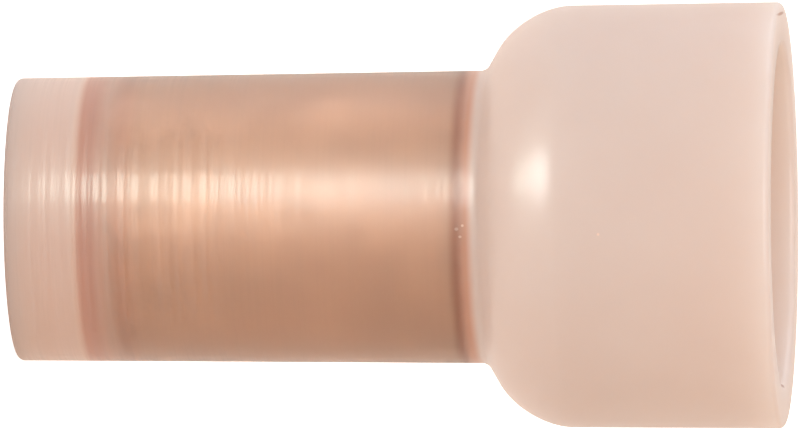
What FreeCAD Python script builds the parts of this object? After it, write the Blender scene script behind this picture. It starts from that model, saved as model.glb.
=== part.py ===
import FreeCAD, Part
import math
import os

# Closed-end wire connector: one moulded nylon cap with one bare copper crimp sleeve
# seated in its barrel. Stripped wire ends go in at the mouth, down the bell and the
# funnel into the sleeve, which is then crimped through the barrel's wall.
#
# Millimetres and degrees. The origin is the centre of the closed end's outer face.
# +Z runs along the axis, from the closed end to the mouth.

# Crimp sleeve
sleeve_outer_diameter = 5.0
sleeve_wall = 0.65
sleeve_length = 8.98
sleeve_foot_rounding = 0.35
sleeve_top_rounding = 0.15
sleeve_inner_rounding = 0.15

# Fit of the sleeve in its seat, and what stands above it
seat_clearance = 0.02
throat_above_sleeve = 0.32
neck_above_sleeve = 0.29

# Barrel: its outside is drafted, its seat is not
end_wall = 1.8
barrel_wall_at_end = 0.795
barrel_wall_at_neck = 0.91

# Bell
bell_height = 6.93
shoulder_step = 1.5
shoulder_angle = 60.0
bell_wall = 1.0
bell_draft = 0.06
funnel_angle = 45.0

# Edges of the cap
closed_end_rounding = 0.13
neck_rounding = 0.2
shoulder_rounding = 1.96
rim_outer_rounding = 0.13
rim_inner_rounding = 0.15
inner_shoulder_rounding = 0.96
throat_rounding = 0.12


def rounding_reaches(points, half_angles, roundings):
    # How far each rounding runs along the two edges at its corner. Two roundings too
    # long for the edge between them share that edge.
    wanted = [rounding / math.tan(half) for rounding, half in zip(roundings, half_angles)]
    reaches = list(wanted)
    for i, point in enumerate(points):
        edge = point.distanceToPoint(points[i - 1])
        share = edge / max(edge, wanted[i] + wanted[i - 1])
        reaches[i] = min(reaches[i], wanted[i] * share)
        reaches[i - 1] = min(reaches[i - 1], wanted[i - 1] * share)
    return reaches


def turned(corners):
    # A solid turned about the Z axis. Each corner of its half section is (distance from
    # the axis, height, rounding), in order round the section.
    points = [FreeCAD.Vector(radius, 0, height) for radius, height, rounding in corners]
    arms = []
    for i, corner in enumerate(points):
        back = points[i - 1] - corner
        ahead = points[(i + 1) % len(points)] - corner
        arms.append((back.normalize(), ahead.normalize()))
    half_angles = [back.getAngle(ahead) / 2 for back, ahead in arms]
    roundings = [rounding for radius, height, rounding in corners]
    reaches = rounding_reaches(points, half_angles, roundings)

    shortest_line = 1e-6
    edges = []
    last = points[-1] + arms[-1][1] * reaches[-1]
    for corner, (back, ahead), half_angle, reach in zip(points, arms, half_angles, reaches):
        start = corner + back * reach
        end = corner + ahead * reach
        if last.distanceToPoint(start) > shortest_line:
            edges.append(Part.makeLine(last, start))
        if reach > 0:
            rounding = reach * math.tan(half_angle)
            inward = (back + ahead).normalize()
            middle = corner + inward * (rounding / math.sin(half_angle) - rounding)
            edges.append(Part.Arc(start, middle, end).toShape())
        last = end

    section = Part.Face(Part.Wire(edges))
    return section.revolve(FreeCAD.Vector(0, 0, 0), FreeCAD.Vector(0, 0, 1), 360)


def rise(step, angle):
    # Height that a cone gains over a radial step, at an angle from the axis.
    return step / math.tan(math.radians(angle))


# The sleeve stands on the end wall
sleeve_outer_radius = sleeve_outer_diameter / 2
sleeve_bore_radius = sleeve_outer_radius - sleeve_wall
sleeve_top = end_wall + sleeve_length

# The barrel wraps the sleeve
seat_radius = sleeve_outer_radius + seat_clearance
barrel_end_radius = seat_radius + barrel_wall_at_end
neck_radius = seat_radius + barrel_wall_at_neck
neck_height = sleeve_top + neck_above_sleeve

# The bell widens from the neck outside, and from the throat inside
shoulder_radius = neck_radius + shoulder_step
shoulder_height = neck_height + rise(shoulder_step, shoulder_angle)
mouth_radius = shoulder_radius + bell_draft
mouth_height = neck_height + bell_height
throat_height = sleeve_top + throat_above_sleeve
funnel_top_radius = shoulder_radius - bell_wall
funnel_top_height = throat_height + rise(funnel_top_radius - seat_radius, funnel_angle)

# Insulating cap: one moulding
insulating_cap = turned([
    (0, 0, 0),
    (barrel_end_radius, 0, closed_end_rounding),
    (neck_radius, neck_height, neck_rounding),
    (shoulder_radius, shoulder_height, shoulder_rounding),
    (mouth_radius, mouth_height, rim_outer_rounding),
    (mouth_radius - bell_wall, mouth_height, rim_inner_rounding),
    (funnel_top_radius, funnel_top_height, inner_shoulder_rounding),
    (seat_radius, throat_height, throat_rounding),
    (seat_radius, end_wall, 0),
    (0, end_wall, 0),
])

# Crimp sleeve: a length of copper tube, its foot's outer edge rounded more for pressing in
crimp_sleeve = turned([
    (sleeve_bore_radius, end_wall, sleeve_inner_rounding),
    (sleeve_outer_radius, end_wall, sleeve_foot_rounding),
    (sleeve_outer_radius, sleeve_top, sleeve_top_rounding),
    (sleeve_bore_radius, sleeve_top, sleeve_inner_rounding),
])

nodes = {
    "insulating_cap": insulating_cap,
    "crimp_sleeve": crimp_sleeve,
}

os.makedirs("parts", exist_ok=True)
for name, shape in nodes.items():
    shape.exportStep("parts/" + name + ".step")
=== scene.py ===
import math

import bmesh
import bpy
from mathutils import Matrix, Vector


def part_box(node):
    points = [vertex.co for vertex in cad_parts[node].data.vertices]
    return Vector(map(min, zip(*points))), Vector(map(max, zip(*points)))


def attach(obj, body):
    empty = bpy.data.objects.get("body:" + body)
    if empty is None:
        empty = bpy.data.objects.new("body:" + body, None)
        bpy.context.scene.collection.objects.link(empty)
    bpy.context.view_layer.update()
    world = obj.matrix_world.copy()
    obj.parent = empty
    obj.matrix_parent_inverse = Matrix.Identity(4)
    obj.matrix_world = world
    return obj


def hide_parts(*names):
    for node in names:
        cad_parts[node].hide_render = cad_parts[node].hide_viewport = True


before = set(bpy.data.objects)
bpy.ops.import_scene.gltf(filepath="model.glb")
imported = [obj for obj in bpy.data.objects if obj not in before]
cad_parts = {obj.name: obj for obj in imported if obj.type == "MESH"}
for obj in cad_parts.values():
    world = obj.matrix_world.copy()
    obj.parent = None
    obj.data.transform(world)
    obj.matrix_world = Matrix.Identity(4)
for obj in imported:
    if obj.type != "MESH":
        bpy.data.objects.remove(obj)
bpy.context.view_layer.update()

mm = 0.001
print("frame loaded:", ", ".join(sorted(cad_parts)))


# Shared helpers

def linearColour(hexCode):
    # sRGB hex to the linear colour that a shader takes
    channels = [int(hexCode[i:i + 2], 16) / 255 for i in (1, 3, 5)]
    return [c / 12.92 if c <= 0.04045 else ((c + 0.055) / 1.055) ** 2.4 for c in channels] + [1.0]


def addNode(tree, kind, settings=None, links=None):
    # adds a node; settings go on its inputs or properties, links feed its inputs
    node = tree.nodes.new(kind)
    for key, value in (settings or {}).items():
        if isinstance(key, str) and hasattr(node, key):
            setattr(node, key, value)
        else:
            node.inputs[key].default_value = value
    for key, socket in (links or {}).items():
        tree.links.new(socket, node.inputs[key])
    return node


def newMaterial(name):
    material = bpy.data.materials.new(name)
    material.use_nodes = True
    material.node_tree.nodes.clear()
    return material, material.node_tree


def turnedPiece(name, corners, settings, closed):
    # corners: (distance from axis, height, how far the rounding reaches, arc segments), mm
    bm = bmesh.new()
    verts = [bm.verts.new((radius * mm, 0, height * mm)) for radius, height, reach, segments in corners]
    for a, b in zip(verts, verts[1:]):
        bm.edges.new((a, b))
    if closed:
        bm.edges.new((verts[-1], verts[0]))
    for vert, (radius, height, reach, segments) in zip(verts, corners):
        if reach > 0:
            bmesh.ops.bevel(bm, geom=[vert], affect="VERTICES", offset=reach * mm,
                            offset_type="OFFSET", segments=segments, profile=0.5, material=-1)
    # straight runs get short edges, so that their shading stays even
    for edge in [e for e in bm.edges if e.calc_length() > settings["longestEdge"] * mm]:
        cuts = int(edge.calc_length() / (settings["longestEdge"] * mm))
        bmesh.ops.subdivide_edges(bm, edges=[edge], cuts=cuts)
    bmesh.ops.spin(bm, geom=bm.verts[:] + bm.edges[:], cent=(0, 0, 0), axis=(0, 0, 1),
                   angle=2 * math.pi, steps=settings["spinSteps"], use_merge=True)
    bmesh.ops.remove_doubles(bm, verts=bm.verts, dist=settings["mergeDistance"] * mm)
    bmesh.ops.recalc_face_normals(bm, faces=bm.faces)
    for face in bm.faces:
        face.smooth = True
    mesh = bpy.data.meshes.new(name)
    bm.to_mesh(mesh)
    bm.free()
    piece = bpy.data.objects.new(name, mesh)
    bpy.context.scene.collection.objects.link(piece)
    return piece


# Insulating cap, one moulding. Millimetres and degrees; a rounding is how far it reaches
# from its corner. The seat and the end wall bite 0.02 mm into the pressed-in sleeve, so no
# air lies between, up to where the seat eases off it below its top. The seat's lower edge
# follows the rounding of the sleeve's foot.
capSettings = {
    "barrelEndRadius": 3.315,
    "neckRadius": 3.43,
    "neckHeight": 11.07,
    "shoulderRadius": 4.93,
    "shoulderAngle": 60.0,
    "bellWall": 1.0,
    "endWall": 1.82,
    "gripRadius": 2.48,
    "gripHeight": 10.66,
    "easeLength": 0.1,
    "seatRadius": 2.52,
    "throatHeight": 11.1,
    "funnelAngle": 45.0,
    "endRounding": 0.13,
    "neckRounding": 0.15,
    "shoulderRounding": 1.12,
    "rimOuterRounding": 0.13,
    "rimInnerRounding": 0.15,
    "funnelRounding": 0.4,
    "throatRounding": 0.05,
    "seatRounding": 0.13,
    "longestEdge": 0.35,
    "spinSteps": 256,
    "mergeDistance": 0.002,
}


def buildCap(s):
    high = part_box("insulating_cap")[1]
    mouthRadius = max(high[0], high[1]) / mm
    mouthHeight = high[2] / mm
    shoulderStep = s["shoulderRadius"] - s["neckRadius"]
    shoulderHeight = s["neckHeight"] + shoulderStep / math.tan(math.radians(s["shoulderAngle"]))
    funnelTopRadius = s["shoulderRadius"] - s["bellWall"]
    funnelStep = funnelTopRadius - s["seatRadius"]
    funnelTopHeight = s["throatHeight"] + funnelStep / math.tan(math.radians(s["funnelAngle"]))
    corners = [
        (0, 0, 0, 0),
        (s["barrelEndRadius"], 0, s["endRounding"], 6),
        (s["neckRadius"], s["neckHeight"], s["neckRounding"], 6),
        (s["shoulderRadius"], shoulderHeight, s["shoulderRounding"], 24),
        (mouthRadius, mouthHeight, s["rimOuterRounding"], 6),
        (mouthRadius - s["bellWall"], mouthHeight, s["rimInnerRounding"], 6),
        (funnelTopRadius, funnelTopHeight, s["funnelRounding"], 8),
        (s["seatRadius"], s["throatHeight"], s["throatRounding"], 3),
        (s["seatRadius"], s["gripHeight"] + s["easeLength"], 0, 0),
        (s["gripRadius"], s["gripHeight"], 0, 0),
        (s["gripRadius"], s["endWall"], s["seatRounding"], 8),
        (0, s["endWall"], 0, 0),
    ]
    return turnedPiece("mouldedCap", corners, s, closed=False)


# Crimp sleeve, a length of drawn copper tube. Millimetres.
sleeveSettings = {
    "wall": 0.65,
    "footRounding": 0.15,
    "topRounding": 0.15,
    "innerRounding": 0.15,
    "longestEdge": 0.35,
    "spinSteps": 192,
    "mergeDistance": 0.002,
}


def buildSleeve(s):
    low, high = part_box("crimp_sleeve")
    outer = max(high[0], high[1]) / mm
    inner = outer - s["wall"]
    foot = low[2] / mm
    top = high[2] / mm
    corners = [
        (inner, foot, s["innerRounding"], 4),
        (outer, foot, s["footRounding"], 8),
        (outer, top, s["topRounding"], 6),
        (inner, top, s["innerRounding"], 4),
    ]
    return turnedPiece("drawnSleeve", corners, s, closed=True)


# Natural nylon, injection moulded: milky right through, so the bell glows evenly and hides
# what is behind it, while the wall that the sleeve presses on lets the copper show. Pairs
# are where a change starts and ends: heights in mm, but for barrelSkin, which is from the
# axis, shinySide, which is along Y, and landLevel, which is a level of the rings' noise.
nylonSettings = {
    "bellMilk": "#d4c8c3",
    "sleeveMilk": "#ecd8c4",
    "plugMilk": "#cdb8ae",
    "plugTop": (1.5, 1.95),
    "clearInPlug": 0.12,
    "clearOverSleeve": 0.83,
    "clearInShoulder": 0.06,
    "clearInBell": 0.2,
    "footClears": (1.85, 2.75),
    "neckClouds": (10.5, 10.85),
    "bellClears": (11.2, 13.0),
    # painted shade round the copper's two ends, and a faint warm tint: a tone, and the heights where it
    # starts, is full, starts to fade and ends
    "paintedShadeAndTint": [
        ("#f2d0be", (1.8, 2.1, 2.5, 3.2)),
        ("#b88f80", (1.55, 1.8, 1.95, 2.62)),
        ("#c39985", (10.35, 10.6, 10.8, 11.03)),
    ],
    # each spot's centre, half sizes and turn about Z
    "rimMarkTone": "#8f6050",
    "rimMarks": [
        ((-4.71, -0.6, 18.0), (0.05, 1.2, 0.15), 2.2),
        ((3.97, 0.3, 17.9), (0.14, 0.3, 0.12), 0),
    ],
    "bubble": "#ecd6c9",
    "bubbles": [
        ((0.28, -3.4, 10.62), (0.05, 0.1, 0.06), 0),
        ((0.46, -3.38, 10.7), (0.04, 0.1, 0.05), 0),
        ((0.2, -3.42, 10.76), (0.04, 0.1, 0.04), 0),
        ((0.42, -4.93, 14.05), (0.04, 0.1, 0.04), 0),
    ],
    "spotCore": 0.5,
    "blush": "#f4ece9",
    "blushSize": 5.0,
    "ior": 1.53,
    "milkDepth": 4.0,
    "milkDepthByColour": (1.0, 0.85, 0.75),
    "bellRoughness": 0.3,
    "barrelRoughness": 0.36,
    "toolMarkSpacing": 0.09,
    "toolMarkLength": 10.0,
    "toolMarkShift": 5.3,
    "toolMarkDepth": 0.002,
    "barrelSkin": (3.0, 3.2),
    "marksEnd": (10.5, 10.95),
    "marksFade": (1.5, 7.0),
    "marksLeft": 0.25,
    "shinySide": (-3.2, -2.0),
    "shineElsewhere": 0.2,
    "landLevel": (0.48, 0.58),
    "landRoughness": 0.2,
}


def nylonMaterial(s):
    material, tree = newMaterial("mouldedNylon")
    place = addNode(tree, "ShaderNodeTexCoord").outputs["Object"]
    split = addNode(tree, "ShaderNodeSeparateXYZ", links={0: place})
    height = split.outputs["Z"]
    flat = addNode(tree, "ShaderNodeVectorMath", {"operation": "MULTIPLY", 1: (1, 1, 0)}, {0: place})
    fromAxis = addNode(tree, "ShaderNodeVectorMath", {"operation": "LENGTH"}, {0: flat.outputs["Vector"]})

    # how clear the wall is, up the height
    start, end = [h * mm for h in s["footClears"]]
    aboveEndWall = addNode(tree, "ShaderNodeMapRange", {
        "interpolation_type": "SMOOTHSTEP", "From Min": start, "From Max": end,
        "To Min": s["clearInPlug"], "To Max": s["clearOverSleeve"]}, {"Value": height})
    start, end = [h * mm for h in s["neckClouds"]]
    belowNeck = addNode(tree, "ShaderNodeMapRange", {
        "interpolation_type": "SMOOTHSTEP", "From Min": start, "From Max": end,
        "To Min": 1.0, "To Max": 0.0}, {"Value": height})
    start, end = [h * mm for h in s["bellClears"]]
    inBell = addNode(tree, "ShaderNodeMapRange", {
        "interpolation_type": "SMOOTHSTEP", "From Min": start, "From Max": end,
        "To Min": s["clearInShoulder"], "To Max": s["clearInBell"]}, {"Value": height})
    clearness = addNode(tree, "ShaderNodeMix", {"data_type": "FLOAT"}, {
        0: belowNeck.outputs["Result"], 2: inBell.outputs["Result"], 3: aboveEndWall.outputs["Result"]})

    # the milk looks lighter where it lies thin over the sleeve, and darker in the solid plug
    start, end = [h * mm for h in s["plugTop"]]
    inPlug = addNode(tree, "ShaderNodeMapRange", {
        "interpolation_type": "SMOOTHSTEP", "From Min": start, "From Max": end,
        "To Min": 1.0, "To Max": 0.0}, {"Value": height})
    overSleeve = addNode(tree, "ShaderNodeMix", {
        "data_type": "RGBA", 6: linearColour(s["bellMilk"]), 7: linearColour(s["sleeveMilk"])},
        {0: belowNeck.outputs["Result"]})
    milk = addNode(tree, "ShaderNodeMix", {"data_type": "RGBA", 7: linearColour(s["plugMilk"])},
                   {0: inPlug.outputs["Result"], 6: overSleeve.outputs[2]})

    # painted shade: reddish brown shade painted onto the milk round the copper's two ends, where the
    # sleeve's rounded ends and the gap beside them lie in shade; at its foot it runs out into a faint warm
    # tint
    paintedShadeAndSpots = milk
    for tone, zone in s["paintedShadeAndTint"]:
        start, full, fade, end = [h * mm for h in zone]
        rising = addNode(tree, "ShaderNodeMapRange", {
            "interpolation_type": "SMOOTHSTEP", "From Min": start, "From Max": full}, {"Value": height})
        falling = addNode(tree, "ShaderNodeMapRange", {
            "interpolation_type": "SMOOTHSTEP", "From Min": fade, "From Max": end,
            "To Min": 1.0, "To Max": 0.0}, {"Value": height})
        band = addNode(tree, "ShaderNodeMath", {"operation": "MULTIPLY"},
                       {0: rising.outputs["Result"], 1: falling.outputs["Result"]})
        paintedShadeAndSpots = addNode(tree, "ShaderNodeMix", {"data_type": "RGBA", 7: linearColour(tone)},
                         {0: band.outputs[0], 6: paintedShadeAndSpots.outputs[2]})

    # two small dark marks painted at the rim, tiny bubbles at the neck and one in the bell
    for tone, spots in (("rimMarkTone", s["rimMarks"]), ("bubble", s["bubbles"])):
        for centre, halfSize, turn in spots:
            inSpot = addNode(tree, "ShaderNodeMapping", {
                "vector_type": "TEXTURE", "Location": [c * mm for c in centre],
                "Rotation": (0, 0, math.radians(turn)), "Scale": [h * mm for h in halfSize]},
                {"Vector": place})
            away = addNode(tree, "ShaderNodeVectorMath", {"operation": "LENGTH"}, {0: inSpot.outputs[0]})
            spot = addNode(tree, "ShaderNodeMapRange", {
                "interpolation_type": "SMOOTHSTEP", "From Min": s["spotCore"], "From Max": 1.0,
                "To Min": 1.0, "To Max": 0.0}, {"Value": away.outputs["Value"]})
            paintedShadeAndSpots = addNode(tree, "ShaderNodeMix", {"data_type": "RGBA", 7: linearColour(s[tone])},
                             {0: spot.outputs["Result"], 6: paintedShadeAndSpots.outputs[2]})

    # blush: slow drifts of its tint, left by the way the melt flowed
    drift = addNode(tree, "ShaderNodeTexNoise", {
        "Scale": 1 / (s["blushSize"] * mm), "Detail": 3.0, "Roughness": 0.55}, {"Vector": place})
    tint = addNode(tree, "ShaderNodeMix", {
        "data_type": "RGBA", "blend_type": "MULTIPLY", 7: linearColour(s["blush"])},
        {0: drift.outputs[0], 6: paintedShadeAndSpots.outputs[2]})

    # turned marks of the mould: rings round the barrel's outside, as coarse as they need to
    # show. They fade towards the neck, and only the -Y side has kept their full shine.
    stretched = addNode(tree, "ShaderNodeMapping", {
        "Location": (0, 0, s["toolMarkShift"]),
        "Scale": (1 / (s["toolMarkLength"] * mm), 1 / (s["toolMarkLength"] * mm),
                  1 / (s["toolMarkSpacing"] * mm))}, {"Vector": place})
    rings = addNode(tree, "ShaderNodeTexNoise", {"Scale": 1.0, "Detail": 3.0, "Roughness": 0.6},
                    {"Vector": stretched.outputs[0]})
    start, end = [r * mm for r in s["barrelSkin"]]
    outside = addNode(tree, "ShaderNodeMapRange", {"From Min": start, "From Max": end},
                      {"Value": fromAxis.outputs["Value"]})
    start, end = [h * mm for h in s["marksEnd"]]
    belowShoulder = addNode(tree, "ShaderNodeMapRange", {
        "From Min": start, "From Max": end, "To Min": 1.0, "To Max": 0.0}, {"Value": height})
    onBarrel = addNode(tree, "ShaderNodeMath", {"operation": "MULTIPLY"},
                       {0: outside.outputs[0], 1: belowShoulder.outputs[0]})
    start, end = [h * mm for h in s["marksFade"]]
    faded = addNode(tree, "ShaderNodeMapRange", {
        "From Min": start, "From Max": end, "To Min": 1.0, "To Max": s["marksLeft"]}, {"Value": height})
    start, end = [y * mm for y in s["shinySide"]]
    shiny = addNode(tree, "ShaderNodeMapRange", {
        "From Min": start, "From Max": end, "To Min": 1.0, "To Max": s["shineElsewhere"]},
        {"Value": split.outputs["Y"]})
    markedArea = addNode(tree, "ShaderNodeMath", {"operation": "MULTIPLY"},
                         {0: onBarrel.outputs[0], 1: faded.outputs[0]})
    markStrength = addNode(tree, "ShaderNodeMath", {"operation": "MULTIPLY"},
                           {0: markedArea.outputs[0], 1: shiny.outputs[0]})
    marks = addNode(tree, "ShaderNodeBump", {"Distance": s["toolMarkDepth"] * mm},
                    {"Strength": markStrength.outputs[0], "Height": rings.outputs[0]})

    # the lands between the marks are glossy, the marks are not
    start, end = s["landLevel"]
    lands = addNode(tree, "ShaderNodeMapRange", {"From Min": start, "From Max": end},
                    {"Value": rings.outputs[0]})
    skin = addNode(tree, "ShaderNodeMath", {"operation": "MULTIPLY"},
                   {0: lands.outputs[0], 1: markStrength.outputs[0]})
    satin = addNode(tree, "ShaderNodeMapRange", {
        "To Min": s["bellRoughness"], "To Max": s["barrelRoughness"]}, {"Value": onBarrel.outputs[0]})

    shader = addNode(tree, "ShaderNodeBsdfPrincipled", {
        "IOR": s["ior"], "Subsurface Weight": 1.0, "Subsurface Radius": s["milkDepthByColour"],
        "Subsurface Scale": s["milkDepth"] * mm, "Coat Roughness": s["landRoughness"]},
        {"Base Color": tint.outputs[2], "Roughness": satin.outputs[0],
         "Transmission Weight": clearness.outputs[0], "Coat Weight": skin.outputs[0],
         "Coat Normal": marks.outputs[0]})
    addNode(tree, "ShaderNodeOutputMaterial", links={"Surface": shader.outputs[0]})
    return material


# Drawn copper: fine lines along the tube from the die, dulled unevenly by tumbling and
# handling, so its sheen is broad and a little patchy; brown painted shade darkens its cut ends.
# The lines are coarser than real ones, so that they show. Millimetres; the painted shade starts
# and is full at these distances from a cut end, and patchLevel is a level of the patches' noise.
copperSettings = {
    "colour": "#dcb297",
    "dullColour": "#d0a68d",
    "patchSize": 1.6,
    "patchLevel": (0.35, 0.65),
    "endShade": "#b47a63",
    "endShadeStart": 0.28,
    "endShadeFull": 0.1,
    "brightRoughness": 0.45,
    "dullRoughness": 0.56,
    "lineSpacing": 0.05,
    "lineLength": 2.5,
    "lineDepth": 0.001,
}


def copperMaterial(s):
    material, tree = newMaterial("drawnCopper")
    place = addNode(tree, "ShaderNodeTexCoord").outputs["Object"]
    height = addNode(tree, "ShaderNodeSeparateXYZ", links={0: place}).outputs["Z"]
    patches = addNode(tree, "ShaderNodeTexNoise", {
        "Scale": 1 / (s["patchSize"] * mm), "Detail": 4.0, "Roughness": 0.6}, {"Vector": place})
    start, end = s["patchLevel"]
    dullness = addNode(tree, "ShaderNodeMapRange", {"From Min": start, "From Max": end},
                       {"Value": patches.outputs[0]})
    body = addNode(tree, "ShaderNodeMix", {
        "data_type": "RGBA", 6: linearColour(s["colour"]), 7: linearColour(s["dullColour"])},
        {0: dullness.outputs[0]})

    # the painted shade goes by the distance from the tube's middle, so it takes both cut ends
    low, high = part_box("crimp_sleeve")
    halfLength = (high[2] - low[2]) / 2
    fromMiddle = addNode(tree, "ShaderNodeMath", {"operation": "SUBTRACT", 1: low[2] + halfLength},
                         {0: height})
    distance = addNode(tree, "ShaderNodeMath", {"operation": "ABSOLUTE"}, {0: fromMiddle.outputs[0]})
    nearEnd = addNode(tree, "ShaderNodeMapRange", {
        "interpolation_type": "SMOOTHSTEP", "From Min": halfLength - s["endShadeStart"] * mm,
        "From Max": halfLength - s["endShadeFull"] * mm}, {"Value": distance.outputs[0]})
    tone = addNode(tree, "ShaderNodeMix", {"data_type": "RGBA", 7: linearColour(s["endShade"])},
                   {0: nearEnd.outputs[0], 6: body.outputs[2]})

    stretched = addNode(tree, "ShaderNodeMapping", {"Scale": (
        1 / (s["lineSpacing"] * mm), 1 / (s["lineSpacing"] * mm), 1 / (s["lineLength"] * mm))},
        {"Vector": place})
    lines = addNode(tree, "ShaderNodeTexNoise", {"Scale": 1.0, "Detail": 2.0, "Roughness": 0.5},
                    {"Vector": stretched.outputs[0]})
    drawn = addNode(tree, "ShaderNodeBump", {"Distance": s["lineDepth"] * mm}, {"Height": lines.outputs[0]})
    sheen = addNode(tree, "ShaderNodeMapRange", {
        "To Min": s["brightRoughness"], "To Max": s["dullRoughness"]}, {"Value": dullness.outputs[0]})
    shader = addNode(tree, "ShaderNodeBsdfPrincipled", {"Metallic": 1.0}, {
        "Base Color": tone.outputs[2], "Roughness": sheen.outputs[0], "Normal": drawn.outputs[0]})
    addNode(tree, "ShaderNodeOutputMaterial", links={"Surface": shader.outputs[0]})
    return material


cap = buildCap(capSettings)
cap.data.materials.append(nylonMaterial(nylonSettings))
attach(cap, "root")
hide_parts("insulating_cap")
print("cap:", len(cap.data.polygons), "faces")

sleeve = buildSleeve(sleeveSettings)
sleeve.data.materials.append(copperMaterial(copperSettings))
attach(sleeve, "root")
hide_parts("crimp_sleeve")
print("sleeve:", len(sleeve.data.polygons), "faces")


# Stage: a light table, pale and faintly lit from below, under a soft sky
stageSettings = {
    "floorRadius": 600.0,
    "floorSides": 64,
    "floorColour": "#ece6e1",
    "glowColour": "#ffffff",
    "glowSeen": 0.9,
    "glowShed": 0.17,
    "skyTop": (1.16, 1.16, 1.18, 1.0),
    "skyLow": (0.78, 0.44, 0.215, 1.0),
}


def buildFloor(s):
    bm = bmesh.new()
    bmesh.ops.create_circle(bm, cap_ends=True, segments=s["floorSides"], radius=s["floorRadius"] * mm)
    mesh = bpy.data.meshes.new("floor")
    bm.to_mesh(mesh)
    bm.free()
    floor = bpy.data.objects.new("floor", mesh)
    bpy.context.scene.collection.objects.link(floor)
    # the table looks brighter than the light it sheds, as in a picture with a cleared background
    material, tree = newMaterial("paleTable")
    seen = addNode(tree, "ShaderNodeLightPath").outputs["Is Camera Ray"]
    glow = addNode(tree, "ShaderNodeMapRange", {"To Min": s["glowShed"], "To Max": s["glowSeen"]},
                   {"Value": seen})
    shader = addNode(tree, "ShaderNodeBsdfPrincipled", {
        "Base Color": linearColour(s["floorColour"]), "Roughness": 1.0, "Specular IOR Level": 0.0,
        "Emission Color": linearColour(s["glowColour"])}, {"Emission Strength": glow.outputs[0]})
    addNode(tree, "ShaderNodeOutputMaterial", links={"Surface": shader.outputs[0]})
    floor.data.materials.append(material)


def buildWorld(s):
    # soft all round, brighter on the -X side, dimmer and warmer on the +X side
    world = bpy.data.worlds.new("studio")
    world.use_nodes = True
    tree = world.node_tree
    tree.nodes.clear()
    direction = addNode(tree, "ShaderNodeTexCoord").outputs["Generated"]
    split = addNode(tree, "ShaderNodeSeparateXYZ", links={0: direction})
    across = addNode(tree, "ShaderNodeMapRange", {"From Min": -1.0, "From Max": 1.0},
                     {"Value": split.outputs["X"]})
    sky = addNode(tree, "ShaderNodeMix", {"data_type": "RGBA", 6: s["skyTop"], 7: s["skyLow"]},
                  {0: across.outputs[0]})
    background = addNode(tree, "ShaderNodeBackground", links={"Color": sky.outputs[2]})
    addNode(tree, "ShaderNodeOutputWorld", links={"Surface": background.outputs[0]})
    return world


buildFloor(stageSettings)
bpy.context.scene.world = buildWorld(stageSettings)
bpy.context.scene.view_settings.view_transform = "Standard"
print("stage set")


# Lamps: millimetres, degrees and watts. Azimuth is measured from the camera's side towards
# -X. Each faces the point at its aim height on the axis, and its light keeps within its
# spread. The ones that reach transmission only light the copper through the nylon, and the
# ones that reach glossy only give the nylon its highlights.
lamps = {
    "topPanel": {"azimuth": 108.0, "elevation": 14.0, "distance": 300.0, "size": (300.0, 300.0),
                 "aimHeight": 9.0, "colour": "#ecf3ff", "power": 0.24},
    "frontPanel": {"azimuth": -1.0, "elevation": 34.0, "distance": 300.0, "size": (300.0, 200.0),
                   "aimHeight": 9.0, "colour": "#ffffff", "power": 0.42},
    "copperKey": {"azimuth": 11.0, "elevation": -3.0, "distance": 10.0, "size": (6.0, 10.5),
                  "aimHeight": 5.6, "colour": "#d4e9f7", "power": 0.0005, "reaches": "transmission"},
    "copperTop": {"azimuth": 105.0, "elevation": -3.0, "distance": 12.0, "size": (8.0, 11.0),
                  "aimHeight": 5.6, "colour": "#d4eaff", "power": 0.00053, "reaches": "transmission"},
    "barrelSheen": {"azimuth": 21.0, "elevation": -4.0, "distance": 10.0, "size": (3.0, 13.0),
                    "aimHeight": 5.0, "colour": "#f4fff2", "power": 0.00072, "reaches": "glossy"},
    "barrelHaze": {"azimuth": 20.0, "elevation": -4.0, "distance": 10.0, "size": (11.0, 12.5),
                   "aimHeight": 6.0, "colour": "#f6fbe6", "power": 0.00036, "reaches": "glossy"},
    "shoulderPool": {"azimuth": 19.0, "elevation": -24.0, "distance": 14.0, "size": (6.5, 7.0),
                     "aimHeight": 12.4, "colour": "#ffffff", "power": 0.000072, "reaches": "glossy",
                     "spread": 60.0, "shape": "ELLIPSE"},
}


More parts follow.
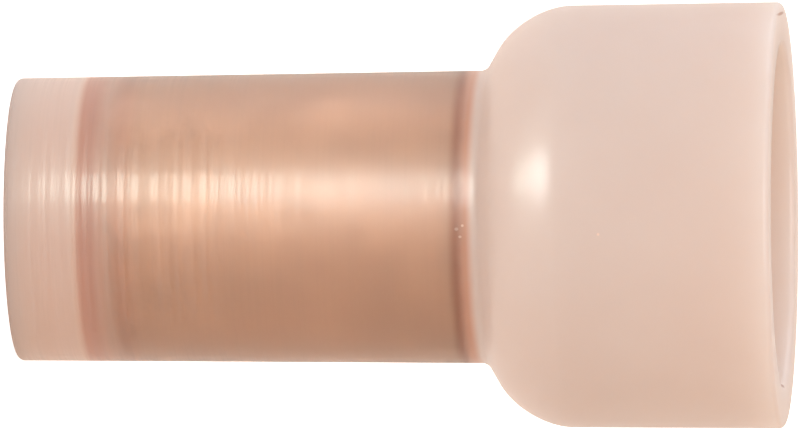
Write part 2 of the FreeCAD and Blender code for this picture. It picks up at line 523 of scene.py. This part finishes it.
def addLamp(name, s):
    azimuth = math.radians(s["azimuth"])
    elevation = math.radians(s["elevation"])
    direction = Vector((-math.sin(azimuth) * math.cos(elevation),
                        -math.cos(azimuth) * math.cos(elevation), math.sin(elevation)))
    target = Vector((0, 0, s["aimHeight"] * mm))
    data = bpy.data.lights.new(name, "AREA")
    data.shape = s.get("shape", "RECTANGLE")
    data.size, data.size_y = [side * mm for side in s["size"]]
    data.spread = math.radians(s.get("spread", 180.0))
    data.color = linearColour(s["colour"])[:3]
    data.energy = s["power"]
    lamp = bpy.data.objects.new(name, data)
    lamp.location = target + direction * s["distance"] * mm
    lamp.rotation_euler = direction.to_track_quat("Z", "Y").to_euler()
    lamp.visible_camera = False
    if "reaches" in s:
        lamp.visible_diffuse = False
        lamp.visible_glossy = s["reaches"] == "glossy"
        lamp.visible_transmission = s["reaches"] == "transmission"
    bpy.context.scene.collection.objects.link(lamp)


for name, settings in lamps.items():
    addLamp(name, settings)
print("lamps:", len(lamps))


# Camera: far off, level with the part's middle and a little above, lying on its side, so
# that the mouth is on the picture's right. Millimetres and degrees.
cameraSettings = {
    "distance": 420.0,
    "elevation": 5.35,
    "tilt": 0.31,
    "pictureWidth": 18.75,
    "aimHeight": 9.0,
    "aimAcross": 0.042,
    "aimAlong": -0.012,
    "sensorWidth": 36.0,
    "nearClip": 10.0,
    "farClip": 10000.0,
}


def addCamera(s):
    elevation = math.radians(s["elevation"])
    back = Vector((0, -math.cos(elevation), math.sin(elevation)))
    right = Vector((0, math.sin(elevation), math.cos(elevation)))
    up = Vector((-1, 0, 0))
    tilt = math.radians(s["tilt"])
    along = right * math.cos(tilt) - up * math.sin(tilt)
    across = right * math.sin(tilt) + up * math.cos(tilt)
    aim = Vector((0, 0, s["aimHeight"] * mm)) + across * s["aimAcross"] * mm + along * s["aimAlong"] * mm
    data = bpy.data.cameras.new("camera")
    data.sensor_width = s["sensorWidth"]
    data.lens = s["sensorWidth"] * s["distance"] / s["pictureWidth"]
    data.clip_start = s["nearClip"] * mm
    data.clip_end = s["farClip"] * mm
    camera = bpy.data.objects.new("camera", data)
    turn = Matrix((along, across, back)).transposed().to_4x4()
    camera.matrix_world = Matrix.Translation(aim + back * s["distance"] * mm) @ turn
    bpy.context.scene.collection.objects.link(camera)
    bpy.context.scene.camera = camera


addCamera(cameraSettings)
print("camera placed")
